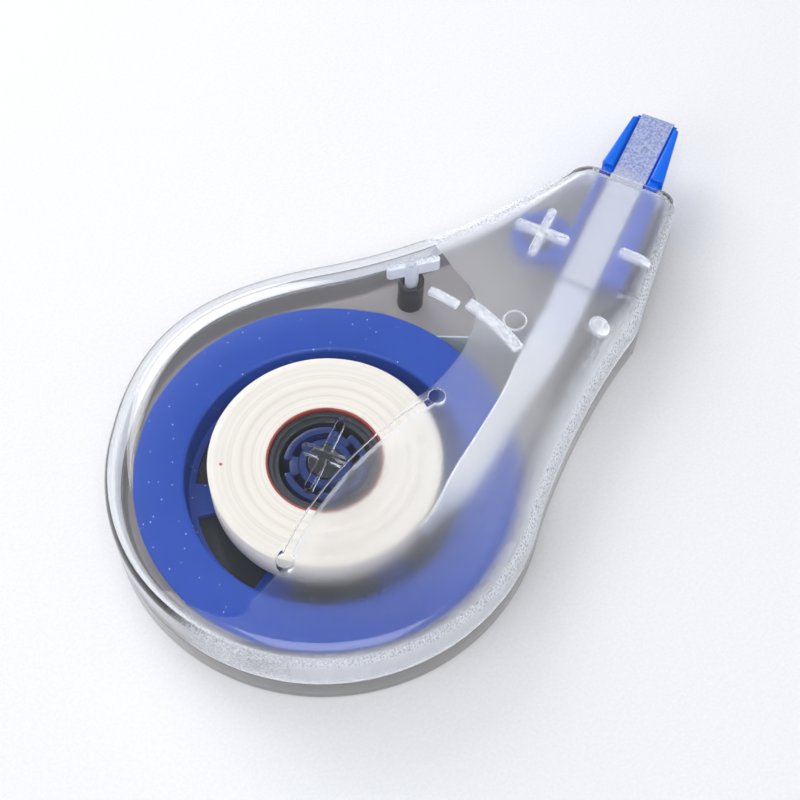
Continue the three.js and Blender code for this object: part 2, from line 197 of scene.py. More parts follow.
def addPost(place, radius, heights, sides=32):
    bottom, top = heights
    bpy.ops.object.select_all(action="DESELECT")
    bpy.ops.mesh.primitive_cylinder_add(
        vertices=sides, radius=radius * mm, depth=(top - bottom) * mm,
        location=(place[0] * mm, place[1] * mm, (top + bottom) / 2 * mm))
    placeApplied(bpy.context.object)
    return bpy.context.object


def addChain(name, points):  # a closed loop of edges
    mesh = bpy.data.meshes.new(name)
    edges = [(i, (i + 1) % len(points)) for i in range(len(points))]
    mesh.from_pydata([Vector(point) * mm for point in points], edges, [])
    obj = bpy.data.objects.new(name, mesh)
    bpy.context.collection.objects.link(obj)
    return obj


def spinRing(name, profile, steps=160, centre=(0, 0)):
    obj = addChain(name, [(centre[0] + radius, centre[1], z) for radius, z in profile])
    startEdit(obj, action="SELECT")
    bpy.ops.mesh.spin(steps=steps, angle=2 * math.pi, axis=(0, 0, 1),
                      center=(centre[0] * mm, centre[1] * mm, 0))
    endEdit()
    facesOut(obj)
    return obj


def spinBar(name, centre, radii, degrees, heights, steps):
    start, sweep = math.radians(degrees[0]), math.radians(degrees[1] - degrees[0])
    corners = [(radii[0], heights[0]), (radii[1], heights[0]), (radii[1], heights[1]), (radii[0], heights[1])]
    obj = addChain(name, [(centre[0] + r * math.cos(start), centre[1] + r * math.sin(start), z)
                          for r, z in corners])
    startEdit(obj, action="SELECT")
    bpy.ops.mesh.spin(steps=steps, angle=-sweep, axis=(0, 0, 1),
                      center=(centre[0] * mm, centre[1] * mm, 0))
    bpy.ops.mesh.select_all(action="SELECT")
    bpy.ops.mesh.fill_holes(sides=4)
    endEdit()
    facesOut(obj)
    return obj


def roundedBar(start, end, width, heights):
    run, middle = end - start, (end + start) / 2
    length = run.length + width
    obj = addBlock((-length / 2, length / 2), (-width / 2, width / 2), heights)
    startEdit(obj, "EDGE")
    pickParts(obj, "edges", lambda e: abs(e.verts[0].co.z - e.verts[1].co.z) > 0.1 * mm)
    bpy.ops.mesh.bevel(offset=width * 0.497 * mm, segments=7, affect="EDGES")  # just short of a half circle
    endEdit()
    obj.rotation_euler.z = math.atan2(run.y, run.x)
    obj.location = (middle.x * mm, middle.y * mm, 0)
    placeApplied(obj)
    return obj


def crossBars(middle, turn, reaches, width, heights):  # two bars across each other
    along = Vector((math.cos(turn), math.sin(turn)))
    square = Vector((-math.sin(turn), math.cos(turn)))
    return [roundedBar(middle - way * reach, middle + way * reach, width, span)
            for way, reach, span in zip((along, square), reaches, heights)]


# Camera, lamps and floor
view = {"lens": 76.5, "location": (-67.31, -67.58, 191.43), "turn": (29.60, 0.20, -50.70)}
cameraData = bpy.data.cameras.new("camera")
cameraData.lens = view["lens"]
cameraData.clip_start = 0.01
camera = bpy.data.objects.new("camera", cameraData)
camera.location = Vector(view["location"]) * mm
camera.rotation_euler = [math.radians(angle) for angle in view["turn"]]
bpy.context.collection.objects.link(camera)
bpy.context.scene.camera = camera
bpy.context.scene.view_settings.view_transform = "Standard"

studio = {
    "world": "#EEF1F8", "worldStrength": 0.26, "aim": (20, 0, 0),
    "lamps": [  # name, place in mm, size in mm, watts, colour
        ("farSoftbox", (190, 490, 340), 420, 2.7, "#FFFFFF"),
        ("sideSoftbox", (-470, 120, 300), 360, 0.8, "#FAFBFF"),
        ("nearFill", (220, -480, 340), 420, 0.5, "#FFFFFF"),
        ("topSoftbox", (-160, -160, 560), 420, 1.5, "#FFFFFF"),
    ],
}
world = bpy.data.worlds.new("studio")
world.use_nodes = True
world.node_tree.nodes["Background"].inputs["Color"].default_value = toLinear(studio["world"])
world.node_tree.nodes["Background"].inputs["Strength"].default_value = studio["worldStrength"]
bpy.context.scene.world = world
for lampName, place, size, watts, colour in studio["lamps"]:
    lampData = bpy.data.lights.new(lampName, "AREA")
    lampData.size = size * mm
    lampData.energy = watts
    lampData.color = toLinear(colour)[:3]
    lamp = bpy.data.objects.new(lampName, lampData)
    lamp.location = Vector(place) * mm
    aim = Vector(studio["aim"]) * mm - lamp.location
    lamp.rotation_euler = aim.to_track_quat("-Z", "Y").to_euler()
    bpy.context.collection.objects.link(lamp)

paper = {
    "size": 3.0, "drop": 0.02,  # metres across, and mm below the case so that the two don't touch
    "dark": "#EFF0F3", "light": "#F5F6F8", "roughness": 0.9, "grainPerMm": 2.6, "relief": 0.05,
}


def floorPaper():  # matt paper sheet: white with a faint soft grain and no shine
    material, tree, coords = startMaterial("matt paper sheet")
    grain = addNode(tree, "ShaderNodeTexNoise", {"Scale": paper["grainPerMm"] / mm, "Detail": 2.0},
                    {"Vector": coords})
    tone = addNode(tree, "ShaderNodeValToRGB", links={"Fac": grain.outputs["Fac"]},
                   stops=((0.3, paper["dark"]), (0.7, paper["light"])))
    bump = addNode(tree, "ShaderNodeBump", {"Strength": paper["relief"], "Distance": 0.02 * mm},
                   {"Height": grain.outputs["Fac"]})
    shader = addNode(tree, "ShaderNodeBsdfPrincipled", {"Roughness": paper["roughness"]}, {
        "Base Color": tone.outputs["Color"], "Normal": bump.outputs["Normal"]})
    endMaterial(tree, shader.outputs[0])
    return material


bpy.ops.object.select_all(action="DESELECT")
bpy.ops.mesh.primitive_plane_add(size=paper["size"], location=(0, 0, -paper["drop"] * mm))
floor = bpy.context.object
floor.name = "floor"
floor.data.materials.append(floorPaper())
print("stage ready")


# The case's outline is one curve, used by the cover, the shell and their hollows.
outline = {
    "radius": 26.7, "nearEnd": -66, "farEnd": 120,  # degrees where the round end meets the flanks
    "nearFlank": ((18.2, -21.1), (31.5, -18.1)), "knee": ((39.2, -17.75), (41.2, -17.6), (43.2, -16.7)),
    "farFlank": ((44.5, 6), (30.7, 11.9)), "swell": (21.2, 19.5), "farShoulder": ((9.7, 28.3), (-0.4, 31.2)),
    "front": -12.4, "left": 6.0, "right": 7.2,  # from the tip, along and across the nozzle
    "corner": 2.3, "leftLean": 0.36, "rightLean": 0.46,  # how far a corner is cut, and its slant
    "smooth": 20,  # steps between two curve points
}


def onNozzle(u, v):
    return tip + Matrix.Rotation(nozzleTurn, 2) @ Vector((u, v))


def onRound(degrees):
    return outline["radius"] * Vector((math.cos(math.radians(degrees)), math.sin(math.radians(degrees))))


def straightPiece(start, end):
    return (start, start.lerp(end, 1 / 3), start.lerp(end, 2 / 3), end)


def cornerPiece(start, knee, end):
    return (start, start.lerp(knee, 2 / 3), end.lerp(knee, 2 / 3), end)


def roundPiece(fromDegrees, toDegrees):
    reach = 4 / 3 * math.tan(math.radians(toDegrees - fromDegrees) / 4)
    start, end = onRound(fromDegrees), onRound(toDegrees)
    return (start, start + reach * Vector((-start.y, start.x)), end - reach * Vector((-end.y, end.x)), end)


def outlinePieces():
    front, corner = outline["front"], outline["corner"]
    right, left = onNozzle(front, -outline["right"]), onNozzle(front, outline["left"])
    rightStart = right + Vector((-corner, -corner * outline["rightLean"]))
    rightEnd = onNozzle(front, corner - outline["right"])
    leftStart = onNozzle(front, outline["left"] - corner)
    leftEnd = left + Vector((-corner, corner * outline["leftLean"]))
    kneeStart, kneeMiddle, kneeEnd = (Vector(place) for place in outline["knee"])
    nearHandles, farHandles, shoulderHandles = (
        [Vector(place) for place in outline[key]] for key in ("nearFlank", "farFlank", "farShoulder"))
    swell = Vector(outline["swell"])
    third = (360 + outline["nearEnd"] - outline["farEnd"]) / 3
    return [
        (onRound(outline["nearEnd"]), *nearHandles, kneeStart),
        cornerPiece(kneeStart, kneeMiddle, kneeEnd),
        straightPiece(kneeEnd, rightStart),
        cornerPiece(rightStart, right, rightEnd),
        straightPiece(rightEnd, leftStart),
        cornerPiece(leftStart, left, leftEnd),
        (leftEnd, *farHandles, swell),
        (swell, *shoulderHandles, onRound(outline["farEnd"])),
    ] + [roundPiece(outline["farEnd"] + i * third, outline["farEnd"] + (i + 1) * third) for i in range(3)]


def outlineFace(name, height, inset=0.0):
    pieces = outlinePieces()
    curve = bpy.data.curves.new(name, "CURVE")
    curve.dimensions = "3D"
    curve.resolution_u = outline["smooth"]
    spline = curve.splines.new("BEZIER")
    spline.bezier_points.add(len(pieces) - 1)
    spline.use_cyclic_u = True
    for i, (start, leave, _, _) in enumerate(pieces):
        point = spline.bezier_points[i]
        point.handle_left_type = point.handle_right_type = "FREE"
        point.co = (start * mm).to_3d()
        point.handle_right = (leave * mm).to_3d()
        point.handle_left = (pieces[i - 1][2] * mm).to_3d()
    obj = bpy.data.objects.new(name, curve)
    bpy.context.collection.objects.link(obj)
    obj.location.z = height * mm
    pickOnly(obj)
    bpy.ops.object.convert(target="MESH")
    obj = bpy.context.object
    placeApplied(obj)
    startEdit(obj, action="SELECT")
    bpy.ops.mesh.remove_doubles(threshold=0.01 * mm)
    bpy.ops.mesh.edge_face_add()
    if inset:
        bpy.ops.mesh.select_mode(type="FACE")
        bpy.ops.mesh.inset(thickness=inset * mm, use_even_offset=True, use_boundary=True)
        bpy.ops.mesh.select_all(action="INVERT")
        bpy.ops.mesh.delete(type="FACE")
    endEdit()
    return obj


def raiseFace(obj, height):
    startEdit(obj, "FACE", "SELECT")
    bpy.ops.mesh.extrude_region_move(TRANSFORM_OT_translate={"value": (0, 0, height * mm)})
    endEdit()
    facesOut(obj)


def smoothShare(x, low, high):
    t = min(1.0, max(0.0, (x - low) / (high - low)))
    return t * t * (3 - 2 * t)


# Upper cover: a drop-shaped tray, upside down, with its ribs and bosses under the roof
cover = {
    "bottom": 5.15, "roofHeight": 12.3, "roofSlope": 0.027, "wall": 1.2,
    "bodyShoulder": 4.6, "nozzleShoulder": 2.2, "nearTrim": 2.0, "shoulderSteps": 10,
    "thinAlong": (34, 54), "nearWay": (-0.777, -0.629), "nearAlong": (6, 22),  # where the shoulder changes
    "mouth": ((-15.4, -10.4), (-5.2, 4.6), (4, 9.1)),  # opening for the head, from the tip
}

coverFinish = {
    "tint": "#F3F5F9", "ior": 1.55, "gloss": 0.03,
    "pass": "#EEEFF1", "frostPass": "#C6C7CA",  # what the lamps' light keeps on its way in
    # where the polished window ends, as x and y in mm; above the line it is clear
    "windowEdge": [(-27, 6), (-24.6, -0.5), (-22.9, -5.3), (-21.1, -6.2), (-19.7, -5.7), (-13.8, -5.8),
                   (-6.3, -3.9), (0.5, -3.2), (12.7, -3.3), (15.5, -3.9), (21.5, -3.6), (28.7, -0.4),
                   (31, 5), (33, 12), (34, 24)],
    "windowX": (-27, 35), "windowY": (-8, 26), "noWindow": 60.0,
    # its edge is crisp in the roof and drawn out on the sides
    "windowStep": 0.6, "sideStep": 9.0, "stepHeights": (10.9, 9.8),
    "frost": 0.55, "wornFrost": 0.30, "wornX": (-18, 8),  # the mould is worn smoother towards the round end
    "roofPass": 0.97, "ribPass": 0.58, "sidePass": 0.14,  # share of light let through unscattered
    "sideHeights": (9.3, 10.95), "veilX": (-8, 12), "hazeReach": (-1, 12),
    "grainPerMm": 4.2,  # about 0.25 mm spark marks, drawn a little coarse to show
    "relief": 0.15, "frostRelief": 0.6, "spark": (0.36, 0.62), "sparkMilk": (0.35, 1.7),
    "dotsPerMm": 3.0, "dotSize": 0.2, "dotLimit": 0.62, "dotMilk": 0.28,
}


def clearPolystyrene():  # moulded clear GPPS off a polished mould: hard gloss, bends light strongly
    material, tree, _ = startMaterial("clear polystyrene, polished")
    shader = addNode(tree, "ShaderNodeBsdfPrincipled", {
        "Base Color": toLinear(coverFinish["tint"]), "Transmission Weight": 1.0,
        "Roughness": coverFinish["gloss"], "IOR": coverFinish["ior"]})
    endMaterial(tree, shader.outputs[0], toLinear(coverFinish["pass"]))
    return material


def beyondWindow(tree, axes, shift):  # how far a point lies past the window's edge
    f = coverFinish
    (leftX, rightX), (low, high) = f["windowX"], f["windowY"]
    share = addNode(tree, "ShaderNodeMapRange", fromSpan(f["windowX"]), {"Value": axes.outputs["X"]})
    edge = addNode(tree, "ShaderNodeFloatCurve", links={"Value": share.outputs[0]})
    points = edge.mapping.curves[0].points
    spots = [((x - leftX) / (rightX - leftX), (y - low) / (high - low)) for x, y in f["windowEdge"]]
    while len(points) < len(spots):
        points.new(0.5, 0.5)
    for point, spot in zip(points, spots):
        point.location = spot
        point.handle_type = "AUTO_CLAMPED"
    edge.mapping.update()
    edgeY = addNode(tree, "ShaderNodeMapRange", {"To Min": (low + shift) * mm, "To Max": (high + shift) * mm},
                    {"Value": edge.outputs[0]})
    return addNode(tree, "ShaderNodeMath", links={0: edgeY.outputs[0], 1: axes.outputs["Y"]},
                   operation="SUBTRACT").outputs[0]


def frostedPolystyrene(name, unscattered, windowShift=0.0):
    # moulded clear GPPS off a spark-eroded mould: milky, with bright grains, round a polished window
    f = coverFinish
    material, tree, coords = startMaterial(name)
    axes = addNode(tree, "ShaderNodeSeparateXYZ", links={0: coords})
    beyond = beyondWindow(tree, axes, windowShift)
    lift = addNode(tree, "ShaderNodeMath", {1: cover["roofSlope"]},
                   {0: axes.outputs["X"], 2: axes.outputs["Z"]}, operation="MULTIPLY_ADD")
    step = f["windowStep"] * mm
    stretch = addNode(tree, "ShaderNodeMapRange", {
        **fromSpan(f["stepHeights"]), "To Min": step, "To Max": f["sideStep"] * mm},
        {"Value": lift.outputs[0]})
    frost = addNode(tree, "ShaderNodeMapRange", {"From Min": -step * 0.2},
                    {"Value": beyond, "From Max": stretch.outputs[0]}, interpolation_type="SMOOTHSTEP")

    # roughness and relief
    grain = addNode(tree, "ShaderNodeTexNoise", {"Scale": f["grainPerMm"] / mm, "Detail": 2.0},
                    {"Vector": coords})
    coarse = addNode(tree, "ShaderNodeMapRange", {
        **fromSpan(f["wornX"]), "To Min": f["wornFrost"], "To Max": f["frost"]}, {"Value": axes.outputs["X"]})
    rough = addNode(tree, "ShaderNodeMapRange", {"To Min": f["gloss"]},
                    {"Value": frost.outputs[0], "To Max": coarse.outputs[0]})
    marks = addNode(tree, "ShaderNodeMath", links={0: grain.outputs["Fac"], 1: frost.outputs[0]},
                    operation="MULTIPLY")
    height = addNode(tree, "ShaderNodeMath", {1: f["frostRelief"]},
                     {0: marks.outputs[0], 2: frost.outputs[0]}, operation="MULTIPLY_ADD")
    bump = addNode(tree, "ShaderNodeBump", {"Strength": f["relief"], "Distance": 0.08 * mm},
                   {"Height": height.outputs[0]})

    # milkiness: the sides and the nozzle scatter most
    veil = addNode(tree, "ShaderNodeMapRange", {**fromSpan(f["veilX"]), "To Max": unscattered - 1},
                   {"Value": axes.outputs["X"]})
    through = addNode(tree, "ShaderNodeMapRange", {**fromSpan(f["sideHeights"]), "To Min": f["sidePass"] - 1},
                      {"Value": lift.outputs[0], "To Max": veil.outputs[0]})
    haze = addNode(tree, "ShaderNodeMapRange", fromSpan(f["hazeReach"]), {"Value": beyond},
                   interpolation_type="SMOOTHSTEP")
    spark = addNode(tree, "ShaderNodeMapRange", {
        "From Min": f["spark"][0], "From Max": f["spark"][1],
        "To Min": f["sparkMilk"][0], "To Max": f["sparkMilk"][1]}, {"Value": grain.outputs["Fac"]})
    grainy = addNode(tree, "ShaderNodeMath", links={0: haze.outputs[0], 1: spark.outputs[0]},
                     operation="MULTIPLY")
    milky = addNode(tree, "ShaderNodeMath", {2: 1.0}, {0: through.outputs[0], 1: grainy.outputs[0]},
                    operation="MULTIPLY_ADD")

    # stray bright dots
    cells = addNode(tree, "ShaderNodeTexVoronoi", {"Scale": f["dotsPerMm"] / mm, "Randomness": 1.0},
                    {"Vector": coords})
    dot = addNode(tree, "ShaderNodeMath", {1: f["dotSize"]}, {0: cells.outputs["Distance"]},
                  operation="LESS_THAN")
    parts = addNode(tree, "ShaderNodeSeparateColor", links={0: cells.outputs["Color"]})
    picked = addNode(tree, "ShaderNodeMath", {1: f["dotLimit"]}, {0: parts.outputs[0]},
                     operation="GREATER_THAN")
    some = addNode(tree, "ShaderNodeMath", links={0: dot.outputs[0], 1: picked.outputs[0]},
                   operation="MULTIPLY")
    dots = addNode(tree, "ShaderNodeMath", links={0: some.outputs[0], 1: frost.outputs[0]},
                   operation="MULTIPLY")
    clear = addNode(tree, "ShaderNodeMath", {1: -f["dotMilk"]}, {0: dots.outputs[0], 2: milky.outputs[0]},
                    operation="MULTIPLY_ADD", use_clamp=True)

    shader = addNode(tree, "ShaderNodeBsdfPrincipled", {"Base Color": toLinear(f["tint"]), "IOR": f["ior"]}, {
        "Roughness": rough.outputs[0], "Normal": bump.outputs["Normal"],
        "Transmission Weight": clear.outputs[0]})
    dimmed = addNode(tree, "ShaderNodeMixRGB", {
        "Color1": toLinear(f["pass"]), "Color2": toLinear(f["frostPass"])}, {"Fac": frost.outputs[0]})
    endMaterial(tree, shader.outputs[0], toLinear(f["pass"]), dimmed.outputs[0])
    return material


polished = clearPolystyrene()
frosted = frostedPolystyrene("clear polystyrene, spark-textured inside", coverFinish["roofPass"])
milkyRibs = frostedPolystyrene("clear polystyrene, thick frosted ribs", coverFinish["ribPass"],
                               coverFinish["noWindow"])
coverFinishes = (polished, frosted, milkyRibs)  # outside, inside, thick ribs


def coverBlock(name, inset, bottom, finish):
    obj = outlineFace(name, bottom, inset)
    roof = cover["roofHeight"] - inset
    raiseFace(obj, roof - bottom)
    startEdit(obj, "FACE")
    pickParts(obj, "faces", lambda f: f.normal.z > 0.9)
    bpy.ops.transform.rotate(value=-math.atan(cover["roofSlope"]), orient_axis="Y",
                             center_override=(0, 0, roof * mm))
    endEdit()
    widest = cover["bodyShoulder"] - inset
    narrower = cover["bodyShoulder"] - cover["nozzleShoulder"]
    weights = obj.data.attributes.new("bevel_weight_edge", "FLOAT", "EDGE")
    for edge in obj.data.edges:
        ends = [obj.data.vertices[i].co for i in edge.vertices]
        if min(end.z for end in ends) > (bottom + 2) * mm:  # only the roof's edge
            middle = (ends[0] + ends[1]) / 2 / mm
            thin = smoothShare(middle.x, *cover["thinAlong"]) * narrower
            nearness = cover["nearWay"][0] * middle.x + cover["nearWay"][1] * middle.y
            near = smoothShare(nearness, *cover["nearAlong"]) * cover["nearTrim"]
            weights.data[edge.index].value = (widest - thin - near) / widest
    useModifier(obj, "BEVEL", width=widest * mm, segments=cover["shoulderSteps"],
                limit_method="WEIGHT", use_clamp_overlap=False, loop_slide=True)
    paint(obj, coverFinishes, finish)
    return obj


coverRibs = {
    "width": 1.1, "bottom": 9.95, "soft": 0.16, "rootShare": 0.45, "rootStep": 0.023,
    "packArc": ((0.5, -50), (46.2, 47.3), (72.1, 107.4)),  # centre, radii and degrees
    "arcEnds": ((14.9, -5.3), (-13.5, -5.5)),
    "hubTurn": 0.29, "hubReach": (4.65, 2.4), "bossReach": (3.25, 3.1), "bossBottoms": (8.75, 8.7),
    "guardArc": ((0, 0), (27.4, 28.9), (-18.2, 0.4)), "leafArc": ((0, 0), (26.5, 27.6), (2, 11)),
    "arcBottom": 9.6,
    "socketBar": ((-2.3, 1.7), (2.6, -1.9)), "socketBarWidth": 1.0, "socketBarBottom": 8.2,  # from the socket
    "socketPostRadius": 0.9, "socketPostBottom": 4.2,
    "nearPost": (36, -14.4), "nearPostRadius": 1.2, "nearPostBottom": 9.0,
    "nearBar": ((47.2, -10.3), (47.8, -13.0)), "nearBarBottom": 8.8,
    "mark": (29.7, -6.0), "markRadii": (1.3, 1.55), "markBottom": 10.05,
}


def buildRibs():
    c = coverRibs
    low, width = c["bottom"], c["width"]
    boss, socket = Vector(places["headBoss"]), Vector(places["socket"])
    barStart, barEnd = (socket + Vector(way) for way in c["socketBar"])
    nearStart, nearEnd = (Vector(place) for place in c["nearBar"])
    inner, outer = c["markRadii"]
    depths = iter(range(20))  # no two ribs end at the same depth inside the roof

    def top(x):  # a rib's upper end, inside the roof's wall at x
        roof = cover["roofHeight"] - cover["roofSlope"] * x
        return roof - cover["wall"] * c["rootShare"] - c["rootStep"] * next(depths)

    windowRibs = [
        spinBar("packRib", *c["packArc"], (low, top(0)), 40),
        addPost(c["arcEnds"][0], width, (low - 0.05, top(15))),
        addPost(c["arcEnds"][1], width, (low - 0.05, top(-13))),
        *crossBars(Vector((0, 0)), c["hubTurn"], c["hubReach"], width,
                   ((low - 0.1, top(0)), (low - 0.15, top(0)))),
    ]
    thickRibs = [
        *crossBars(boss, nozzleTurn, c["bossReach"], width,
                   [(bottom, top(44)) for bottom in c["bossBottoms"]]),
        spinBar("guardRib", *c["guardArc"], (c["arcBottom"], top(28)), 20),
        spinBar("leafRib", *c["leafArc"], (c["arcBottom"], top(27)), 10),
        roundedBar(barStart, barEnd, c["socketBarWidth"], (c["socketBarBottom"], top(30))),
        addPost(socket, c["socketPostRadius"], (c["socketPostBottom"], top(29))),
        addPost(c["nearPost"], c["nearPostRadius"], (c["nearPostBottom"], top(37))),
        roundedBar(nearStart, nearEnd, width, (c["nearBarBottom"], top(49))),
        spinRing("markRing", [(inner, c["markBottom"]), (outer, c["markBottom"]),
                              (outer, top(30)), (inner, top(30))], 48, c["mark"]),
    ]
    for ribs, finish in ((windowRibs, 1), (thickRibs, 2)):
        for rib in ribs:
            softEdges(rib, c["soft"])
            paint(rib, coverFinishes, finish)
    return windowRibs + thickRibs


coverPiece = coverBlock("cover", 0, cover["bottom"], 0)
combine(coverPiece, coverBlock("coverInside", cover["wall"], cover["bottom"] - 1.5, 1), "DIFFERENCE")
for rib in buildRibs():
    combine(coverPiece, rib, "UNION")
mouth = addBlock(*cover["mouth"])
placeOnNozzle(mouth)
combine(coverPiece, mouth, "DIFFERENCE")
finishPiece(coverPiece, "clear_cover", coverFinishes, "case", "upper_cover")


# Lower shell: a shallow tray with a ramp up to the nozzle, a centre post and pins
shell = {
    "rim": 4.85, "wall": 1.2, "floor": 0.8, "edge": 1.0, "innerEdge": 0.4, "rampStart": 41, "rampEnd": 45,
    "rise": 3.4, "centrePost": (2.1, (0.5, 8.9)), "pin": (1.0, (0.5, 6.0)),  # radius and heights
    "headPost": (1.5, (3.0, 8.2)), "soft": 0.18,
    "socket": [(1.15, 2.2), (1.75, 0.6), (1.75, 6.2), (1.15, 6.2)],  # radius and height round its wall
}

shellFinish = {
    "pass": "#D6D4D4", "ior": 1.55, "gloss": 0.12, "through": 0.6, "cloudPerMm": 0.06,
    "reelShade": "#4C5254", "reelShadeEdge": (20, 17),  # painted shade: the floor under the reels is coloured darker, where they shade it
    "wallFoot": (0.85, 1.4),
    # painted shade: the shell's walls take a darker grey than its floor
    "floorDark": "#CBC7C5", "floorLight": "#D5D1CF", "wall": "#A19E9E",
    "postDark": "#4E4D4F", "postLight": "#5A595B", "postWall": "#545355",
}


def smokyPolystyrene(name, dark, light, paintedWallShade):
    # moulded smoke-tinted GPPS: glossy grey, see-through where thin and near black where thick
    f = shellFinish
    material, tree, coords = startMaterial(name)
    cloud = addNode(tree, "ShaderNodeTexNoise", {"Scale": f["cloudPerMm"] / mm, "Detail": 2.0},
                    {"Vector": coords})
    tone = addNode(tree, "ShaderNodeValToRGB", links={"Fac": cloud.outputs["Fac"]},
                   stops=((0.3, dark), (0.7, light)))
    # painted shade: the floor turns darker within the reels' reach
    under = addNode(tree, "ShaderNodeMapRange", fromSpan(f["reelShadeEdge"]),
                    {"Value": axisDistance(tree, coords)})
    axes = addNode(tree, "ShaderNodeSeparateXYZ", links={0: coords})
    # painted shade: above the wall's foot the colour turns to the wall tint, darker on the shell
    wall = addNode(tree, "ShaderNodeMapRange", fromSpan(f["wallFoot"]), {"Value": axes.outputs["Z"]})
    wallShaded = addNode(tree, "ShaderNodeMixRGB", {"Color2": toLinear(paintedWallShade)},
                     {"Fac": wall.outputs[0], "Color1": tone.outputs["Color"]})
    shaded = addNode(tree, "ShaderNodeMixRGB", {"Color2": toLinear(f["reelShade"])},
                     {"Fac": under.outputs[0], "Color1": wallShaded.outputs[0]})
    shader = addNode(tree, "ShaderNodeBsdfPrincipled", {
        "Transmission Weight": f["through"], "Roughness": f["gloss"], "IOR": f["ior"]},
        {"Base Color": shaded.outputs[0]})
    endMaterial(tree, shader.outputs[0], toLinear(f["pass"]))
    return material


smoky = smokyPolystyrene("smoke-tinted polystyrene, moulded",
                         shellFinish["floorDark"], shellFinish["floorLight"], shellFinish["wall"])
smokyThick = smokyPolystyrene("smoke-tinted polystyrene, thick posts",
                              shellFinish["postDark"], shellFinish["postLight"], shellFinish["postWall"])


def shellBlock(name, inset, bottom, top, soft):
    obj = outlineFace(name, bottom, inset)
    raiseFace(obj, top - bottom)
    start, run, rise = shell["rampStart"], shell["rampEnd"] - shell["rampStart"], shell["rise"]
    end, side, below, split = 90, 60, 5, 50  # the wedge reaches outside the shell; split parts its two ends
    wedge = addBlock((start, end), (-side, side), (bottom - below, bottom + rise))
    startEdit(wedge)
    pickParts(wedge, "verts", lambda v: v.co.x < split * mm and v.co.z > bottom * mm)
    bpy.ops.transform.translate(value=(run * mm, 0, 0))
    bpy.ops.mesh.select_all(action="DESELECT")
    pickParts(wedge, "verts", lambda v: v.co.x < split * mm and v.co.z < bottom * mm)
    bpy.ops.transform.translate(value=(-below * run / rise * mm, 0, 0))
    endEdit()
    combine(obj, wedge, "DIFFERENCE")
    weights = obj.data.attributes.new("bevel_weight_edge", "FLOAT", "EDGE")
    for edge in obj.data.edges:  # the outline's lower edge, but not where the ramp starts and ends
        ends = [obj.data.vertices[i].co for i in edge.vertices]
        level = abs(ends[0].z - ends[1].z) < 0.01 * mm and (ends[0] - ends[1]).length < 4 * mm
        body = max(point.z for point in ends) < (bottom + 0.1) * mm
        nozzle = abs(ends[0].z - (bottom + rise) * mm) < 0.05 * mm
        if level and (body or nozzle):
            weights.data[edge.index].value = 1.0
    useModifier(obj, "BEVEL", width=soft * mm, segments=5, limit_method="WEIGHT", use_clamp_overlap=False)
    return obj


shellPiece = shellBlock("shell", 0, 0, shell["rim"], shell["edge"])
shellInside = shellBlock("shellInside", shell["wall"], shell["floor"], shell["rim"] + 2, shell["innerEdge"])
combine(shellPiece, shellInside, "DIFFERENCE")
paint(shellPiece, (smoky, smokyThick), 0)
shellPosts = [
    addPost((0, 0), *shell["centrePost"], 64),
    addPost(places["guardPin"], *shell["pin"]),
    addPost(places["returnPin"], *shell["pin"]),
    addPost(places["headBoss"], *shell["headPost"]),
    spinRing("socket", shell["socket"], 48, places["socket"]),
]
for post in shellPosts:
    softEdges(post, shell["soft"])
    paint(post, (smoky, smokyThick), 1)
    combine(shellPiece, post, "UNION")
finishPiece(shellPiece, "smoky_shell", (smoky, smokyThick), "case", "lower_shell")


# Plastics of the inner parts
moulded = {"ior": 1.55, "flowPerMm": 0.09, "finePerMm": 2.5, "relief": 0.12}
dustAndShade = {
    "colour": "#C9D6EE", "specksPerMm": 1.3, "size": 0.11, "limit": 0.72,  # specks drawn large enough to show
    # painted shade: the hub's darker blue stands for the core's shadow
    "hubShade": "#0B2A66", "hubShadeEdge": (9, 6),
}


